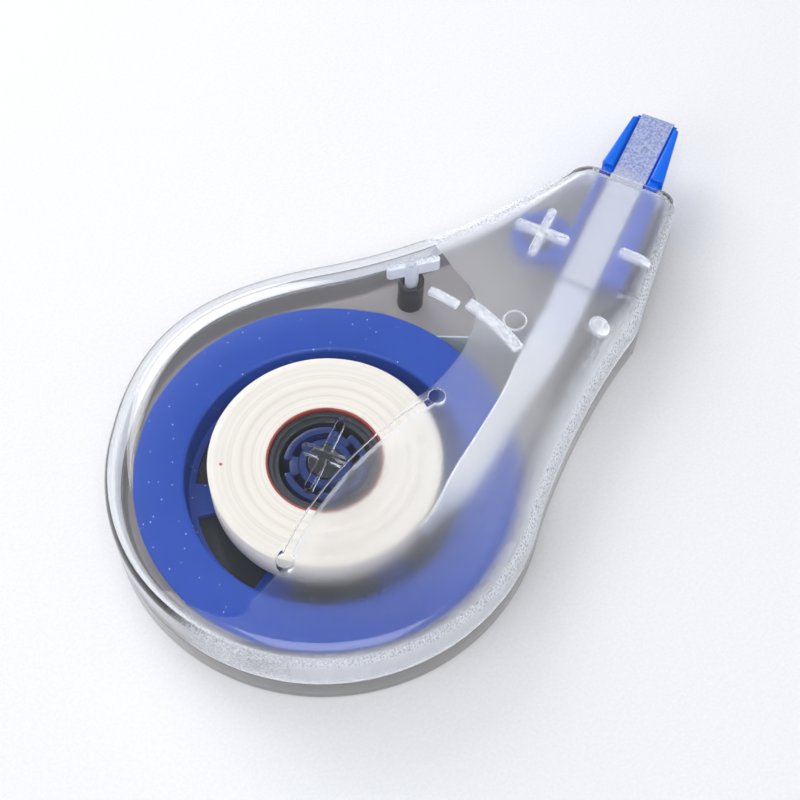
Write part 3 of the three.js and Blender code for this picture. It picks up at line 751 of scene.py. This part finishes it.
def mouldedPlastic(name, dark, light, roughness, dustyAndShaded=False, nozzleShade=None):
    # moulded and left as it came: soft gloss with faint flow marks
    material, tree, coords = startMaterial(name)
    flow = addNode(tree, "ShaderNodeTexNoise", {"Scale": moulded["flowPerMm"] / mm, "Detail": 3.0},
                   {"Vector": coords})
    tone = addNode(tree, "ShaderNodeValToRGB", links={"Fac": flow.outputs["Fac"]},
                   stops=((0.3, dark), (0.7, light)))
    colour = tone.outputs["Color"]
    if dustyAndShaded:  # pale dust specks, and painted shade: the hub coloured darker where the core shades it
        cells = addNode(tree, "ShaderNodeTexVoronoi", {"Scale": dustAndShade["specksPerMm"] / mm, "Randomness": 1.0},
                        {"Vector": coords})
        near = addNode(tree, "ShaderNodeMath", {1: dustAndShade["size"]}, {0: cells.outputs["Distance"]},
                       operation="LESS_THAN")
        parts = addNode(tree, "ShaderNodeSeparateColor", links={0: cells.outputs["Color"]})
        chosen = addNode(tree, "ShaderNodeMath", {1: dustAndShade["limit"]}, {0: parts.outputs[0]},
                         operation="GREATER_THAN")
        speck = addNode(tree, "ShaderNodeMath", links={0: near.outputs[0], 1: chosen.outputs[0]},
                        operation="MULTIPLY")
        specked = addNode(tree, "ShaderNodeMixRGB", {"Color2": toLinear(dustAndShade["colour"])},
                          {"Fac": speck.outputs[0], "Color1": colour})
        hub = addNode(tree, "ShaderNodeMapRange", fromSpan(dustAndShade["hubShadeEdge"]),
                      {"Value": axisDistance(tree, coords)})
        colour = addNode(tree, "ShaderNodeMixRGB", {"Color2": toLinear(dustAndShade["hubShade"])},
                         {"Fac": hub.outputs[0], "Color1": specked.outputs[0]}).outputs[0]
    if nozzleShade:  # painted shade: the part inside the nozzle is coloured darker, where the cover shades it
        axes = addNode(tree, "ShaderNodeSeparateXYZ", links={0: coords})
        inside = addNode(tree, "ShaderNodeMapRange", fromSpan(nozzleShade[1]), {"Value": axes.outputs["X"]})
        colour = addNode(tree, "ShaderNodeMixRGB", {"Color2": toLinear(nozzleShade[0])},
                         {"Fac": inside.outputs[0], "Color1": colour}).outputs[0]
    fine = addNode(tree, "ShaderNodeTexNoise", {"Scale": moulded["finePerMm"] / mm, "Detail": 2.0},
                   {"Vector": coords})
    bump = addNode(tree, "ShaderNodeBump", {"Strength": moulded["relief"], "Distance": 0.02 * mm},
                   {"Height": fine.outputs["Fac"]})
    shader = addNode(tree, "ShaderNodeBsdfPrincipled", {"Roughness": roughness, "IOR": moulded["ior"]}, {
        "Base Color": colour, "Normal": bump.outputs["Normal"]})
    endMaterial(tree, shader.outputs[0])
    return material


def plainTape(name, light, dark, roughness, clear=0.0, cloudPerMm=0.26, fade=None):
    material, tree, coords = startMaterial(name)
    cloud = addNode(tree, "ShaderNodeTexNoise", {"Scale": cloudPerMm / mm, "Detail": 5.0}, {"Vector": coords})
    tone = addNode(tree, "ShaderNodeValToRGB", links={"Fac": cloud.outputs["Fac"]},
                   stops=((0.35, dark), (0.62, light)))
    bump = addNode(tree, "ShaderNodeBump", {"Strength": 0.2, "Distance": 0.03 * mm},
                   {"Height": cloud.outputs["Fac"]})
    colour = tone.outputs["Color"]
    if fade:  # a stretch along x, and the colour past its end
        axes = addNode(tree, "ShaderNodeSeparateXYZ", links={0: coords})
        inside = addNode(tree, "ShaderNodeMapRange", fromSpan(fade[1]), {"Value": axes.outputs["X"]})
        colour = addNode(tree, "ShaderNodeMixRGB", {"Color2": toLinear(fade[0])},
                         {"Fac": inside.outputs[0], "Color1": colour}).outputs[0]
    shader = addNode(tree, "ShaderNodeBsdfPrincipled", {"Roughness": roughness, "Alpha": 1.0 - clear}, {
        "Base Color": colour, "Normal": bump.outputs["Normal"]})
    endMaterial(tree, shader.outputs[0])
    return material


# Take-up wheel: a flanged drum on a hub with sprung fingers
wheel = {
    "bore": 2.2, "ringOuter": 23.7, "ringTop": 6.3, "ringThick": 0.5, "drumInner": 17.3, "drumOuter": 18.1,
    "webBottom": 1.0, "webTop": 1.8, "collar": (5.8, 7.6), "collarTop": 4.45, "hubOuter": 3.3, "hubTop": 8.6,
    "windows": 6, "windowArc": (23, 67), "windowRadii": (9.0, 16.4), "windowHeights": (0, 2.8),
    "fingers": 3, "fingerArc": (24, 122), "fingerRadii": (4.2, 5.1), "fingerHeights": (1.6, 8.35),
    "stubArc": (112, 150), "stubRadii": (3.15, 4.35), "stubHeights": (7.6, 8.2), "soft": 0.12,
    "dark": "#0A42A6", "light": "#0E48AE", "roughness": 0.34,
}


def turnedBy(degrees, arc):
    return [degrees + angle for angle in arc]


def buildWheel():
    w = wheel
    under = w["ringTop"] - w["ringThick"]
    drum, web, collarTop = w["drumInner"], w["webTop"], w["collarTop"]
    collarInner, collarOuter = w["collar"]
    obj = spinRing("takeupWheel", [
        (w["bore"], w["webBottom"]), (w["drumOuter"], w["webBottom"]), (w["drumOuter"], under - 0.25),
        (w["drumOuter"] + 0.25, under), (w["ringOuter"] - 0.15, under), (w["ringOuter"], under + 0.15),
        (w["ringOuter"], w["ringTop"] - 0.15), (w["ringOuter"] - 0.15, w["ringTop"]),
        (drum + 0.55, w["ringTop"]), (drum + 0.25, w["ringTop"] - 0.07), (drum + 0.07, w["ringTop"] - 0.25),
        (drum, w["ringTop"] - 0.55), (drum, web + 0.4), (drum - 0.12, web + 0.12), (drum - 0.4, web),
        (collarOuter, web), (collarOuter, collarTop - 0.1), (collarOuter - 0.1, collarTop),
        (collarInner + 0.1, collarTop), (collarInner, collarTop - 0.1), (collarInner, web),
        (w["hubOuter"], web), (w["hubOuter"], w["hubTop"] - 0.2), (w["hubOuter"] - 0.2, w["hubTop"]),
        (w["bore"] + 0.15, w["hubTop"]), (w["bore"], w["hubTop"] - 0.15),
    ], 180)
    for i in range(w["windows"]):
        arc = turnedBy(360 / w["windows"] * i, w["windowArc"])
        combine(obj, spinBar("window", (0, 0), w["windowRadii"], arc, w["windowHeights"], 24), "DIFFERENCE")
    for i in range(w["fingers"]):
        turn = 360 / w["fingers"] * i
        finger = spinBar("finger", (0, 0), w["fingerRadii"], turnedBy(turn, w["fingerArc"]),
                         w["fingerHeights"], 28)
        stub = spinBar("stub", (0, 0), w["stubRadii"], turnedBy(turn, w["stubArc"]), w["stubHeights"], 10)
        for part in (finger, stub):
            softEdges(part, w["soft"], 2)
            combine(obj, part, "UNION")
    return obj


# blue polystyrene: deep and even, with specks of dust that the cover keeps in, and painted shade darkening
# the hub
wheelBlue = mouldedPlastic("blue polystyrene, moulded reel", wheel["dark"], wheel["light"],
                           wheel["roughness"], dustyAndShaded=True)
finishPiece(buildWheel(), "takeup_reel_wheel", [wheelBlue], "takeup_reel", "takeup_wheel")

winding = {  # radius and height round its section
    "profile": [(18.2, 1.05), (19.3, 1.05), (19.4, 1.2), (19.4, 5.45), (19.3, 5.6), (18.2, 5.6)],
    "light": "#DCE1EA", "dark": "#C9D0DE", "roughness": 0.45, "clear": 0.1,
}
# glassine carrier with its coating gone: cool grey and a little see-through
glassine = plainTape("bare glassine carrier, wound", winding["light"], winding["dark"],
                     winding["roughness"], winding["clear"])
finishPiece(spinRing("winding", winding["profile"]), "used_tape_winding", [glassine], "takeup_reel",
            "takeup_winding")


# Supply reel: the pack, the red leader between it and the core, and the core
# Each profile is radius and height round the section.
pack = {
    "profile": [(7.15, 4.8), (14.1, 4.75), (14.2, 4.85), (14.2, 9.37), (14.12, 9.44), (13.2, 9.45),
                (12.9, 9.42), (11.6, 9.44), (11.3, 9.46), (9.7, 9.45), (9.5, 9.42), (8.2, 9.43), (7.9, 9.46),
                (7.15, 9.44)],
    "light": "#F5EDDE", "dark": "#E9E0D0", "roughness": 0.62,
    "turnPitch": 0.16, "bandPitch": 0.7, "turnShare": 0.8,  # the real turns are 0.06 mm, drawn coarse to show
    "relief": 0.05,
    "fleck": "#B0483A", "fleckPlace": (-8.4, 9.3, 9.45), "fleckRadius": 0.2,
}


def woundPaper(name):  # coated paper, wound: matt cream with fine concentric turns and one red fleck
    material, tree, coords = startMaterial(name)
    radius = axisDistance(tree, coords)
    turns = addNode(tree, "ShaderNodeTexNoise", {"Scale": 1 / (pack["turnPitch"] * mm), "Detail": 2.0},
                    {"W": radius}, noise_dimensions="1D")
    bands = addNode(tree, "ShaderNodeTexNoise", {"Scale": 1 / (pack["bandPitch"] * mm), "Detail": 1.0},
                    {"W": radius}, noise_dimensions="1D")
    both = addNode(tree, "ShaderNodeMath", {1: pack["turnShare"]},
                   {0: turns.outputs["Fac"], 2: bands.outputs["Fac"]}, operation="MULTIPLY_ADD")
    tone = addNode(tree, "ShaderNodeValToRGB", links={"Fac": both.outputs[0]},
                   stops=((0.65, pack["dark"]), (1.0, pack["light"])))
    bump = addNode(tree, "ShaderNodeBump", {"Strength": pack["relief"], "Distance": 0.02 * mm},
                   {"Height": both.outputs[0]})
    away = addNode(tree, "ShaderNodeVectorMath", {1: Vector(pack["fleckPlace"]) * mm}, {0: coords},
                   operation="DISTANCE")
    fleck = addNode(tree, "ShaderNodeMath", {1: pack["fleckRadius"] * mm}, {0: away.outputs["Value"]},
                    operation="LESS_THAN")
    marked = addNode(tree, "ShaderNodeMixRGB", {"Color2": toLinear(pack["fleck"])},
                     {"Fac": fleck.outputs[0], "Color1": tone.outputs["Color"]})
    shader = addNode(tree, "ShaderNodeBsdfPrincipled", {"Roughness": pack["roughness"]}, {
        "Base Color": marked.outputs[0], "Normal": bump.outputs["Normal"]})
    endMaterial(tree, shader.outputs[0])
    return material


packPaper = woundPaper("coated paper tape, wound")
finishPiece(spinRing("pack", pack["profile"], 192), "tape_roll", [packPaper], "supply_reel",
            "tape_pack", 60)

leader = {
    "profile": [(6.9, 4.8), (7.1, 4.8), (7.1, 9.42), (7.0, 9.46), (6.9, 9.42)],
    "light": "#B4453C", "dark": "#9C3129", "roughness": 0.6,
}
# printed paper: a thin matt red line round the core
leaderRed = plainTape("red end-of-tape leader", leader["light"], leader["dark"], leader["roughness"])
finishPiece(spinRing("marker", leader["profile"]), "red_leader", [leaderRed], "supply_reel",
            "end_marker")

core = {
    "profile": [(5.7, 4.55), (6.75, 4.55), (6.85, 4.65), (6.85, 8.85), (6.75, 8.95), (6.3, 8.95),
                (6.22, 8.88), (6.22, 8.55), (6.15, 8.48), (5.68, 8.48), (5.6, 8.4), (5.6, 4.65)],
    "dark": "#2A2F31", "light": "#33393B", "roughness": 0.42,
}
# ABS, moulded: near black with a dull shine
coreGrey = mouldedPlastic("dark grey ABS core", core["dark"], core["light"], core["roughness"])
finishPiece(spinRing("core", core["profile"]), "reel_core", [coreGrey], "supply_reel",
            "supply_core")


# Transfer head: a tongue between two cheeks, a body inside the nozzle and a boss on the shell's post
head = {
    "half": 2.8, "soft": 0.18,
    "tongue": [(-30, 7.6), (-12, 7.6), (-0.7, 7.35), (-0.15, 7.25), (0, 7.1), (-0.15, 6.95), (-0.7, 6.85),
               (-11.5, 6.0), (-12.4, 6.2), (-30, 6.5)],
    "bars": [  # two ends, each as x, y span and z span: plates, ledges along the tape, and a body rail
        ((-10.6, (2.66, 4.2), (6.2, 8.5)), (-1.1, (2.66, 3.3), (6.8, 7.95))),
        ((-10.6, (-4.5, -2.66), (6.2, 8.5)), (-1.1, (-3.3, -2.66), (6.8, 7.95))),
        ((-14.2, (2.56, 4.05), (5.9, 7.95)), (-0.7, (2.5, 3.1), (6.75, 7.62))),
        ((-14.2, (-4.35, -2.56), (5.9, 7.95)), (-0.7, (-3.1, -2.5), (6.75, 7.62))),
        ((-29, (-5.6, -2.7), (5.9, 8.5)), (-14.0, (-4.8, -2.7), (5.9, 8.5))),
    ],
    "blocks": [((-29, -14.0), (2.7, 3.7), (5.9, 8.5)), ((-29, -23.6), (2.9, 7.0), (6.3, 7.5))],
    "boss": [(1.8, 6.2), (3.7, 6.2), (3.9, 6.4), (3.9, 8.3), (3.7, 8.5), (2.9, 8.5), (2.7, 8.3), (2.7, 7.9),
             (2.0, 7.9), (1.8, 7.8)],
    # painted shade: the head is coloured darker inside the nozzle
    "dark": "#0068EA", "light": "#0072F4", "roughness": 0.30, "nozzleShade": "#0A46B4", "nozzleShadeX": (59, 57),
}


def taperedBar(near, far):
    obj = addBlock((near[0], far[0]), near[1], near[2])
    startEdit(obj, "FACE")
    pickParts(obj, "faces", lambda f: f.normal.x > 0.9)
    sizes = [(f[1] - f[0]) / (n[1] - n[0]) for n, f in zip(near[1:], far[1:])]
    start, end = ([sum(span) / 2 for span in side[1:]] for side in (near, far))
    bpy.ops.transform.resize(value=(1, sizes[0], sizes[1]), center_override=(
        far[0] * mm, start[0] * mm, start[1] * mm))
    bpy.ops.transform.translate(value=(0, (end[0] - start[0]) * mm, (end[1] - start[1]) * mm))
    endEdit()
    return obj


def buildHead():
    obj = addChain("head", [(x, -head["half"], z) for x, z in head["tongue"]])
    startEdit(obj, action="SELECT")
    bpy.ops.mesh.edge_face_add()
    bpy.ops.mesh.extrude_region_move(TRANSFORM_OT_translate={"value": (0, 2 * head["half"] * mm, 0)})
    endEdit()
    facesOut(obj)
    parts = [taperedBar(*bar) for bar in head["bars"]] + [addBlock(*block) for block in head["blocks"]]
    for part in parts:
        softEdges(part, head["soft"], angle=40)
        combine(obj, part, "UNION")
    placeOnNozzle(obj)
    combine(obj, spinRing("boss", head["boss"], 64, places["headBoss"]), "UNION")
    return obj


# acetal, moulded: bright blue and slippery, with painted shade making it darker under the cover
headBlue = mouldedPlastic("blue acetal, moulded head", head["dark"], head["light"], head["roughness"],
                          nozzleShade=(head["nozzleShade"], head["nozzleShadeX"]))
finishPiece(buildHead(), "blue_transfer_head", [headBlue], "case", "transfer_head")


# Tape runs, taken from the frame so that they meet the reels and the head
tape = {
    # painted light: the fresh tape's colour turns white near the pack
    "fresh": {"light": "#D3D5DF", "dark": "#C8CAD6", "roughness": 0.32, "fade": ("#FFFFFB", (35, 22))},
    "film": {"light": "#BFC8EA", "dark": "#8595CF", "roughness": 0.45, "clear": 0.12,
             "cloudPerMm": 3.0, "fade": ("#D3D5DF", (60.5, 56.5))},
}
# coated tape: satin, with painted light: coloured whitest near the pack, where most light reaches it
coatedTape = plainTape("coated correction tape", **tape["fresh"])
# film over blue: a pale blue veil with fine scuffs, whiter where the cover starts
headFilm = plainTape("glassine tape with coating scuffs", **tape["film"])
print("tape finishes ready")


def mergedCopy(nodeName):
    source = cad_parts[nodeName]
    obj = source.copy()
    obj.data = source.data.copy()
    obj.parent = None
    obj.matrix_world = Matrix.Identity(4)
    bpy.context.collection.objects.link(obj)
    obj.data.materials.clear()
    startEdit(obj, action="SELECT")
    bpy.ops.mesh.remove_doubles(threshold=0.003 * mm)
    bpy.ops.mesh.tris_convert_to_quads(face_threshold=math.radians(20), shape_threshold=math.radians(60))
    endEdit()
    return obj


for node, name, material, slot in (
        ("supply_run", "fresh_tape_run", coatedTape, "fresh_tape"),
        ("return_run", "used_tape_run", glassine, "used_tape"),
        ("head_tape", "tape_over_head", headFilm, "fresh_tape")):
    finishPiece(mergedCopy(node), name, [material], "case", node, 40)

print("all pieces ready")
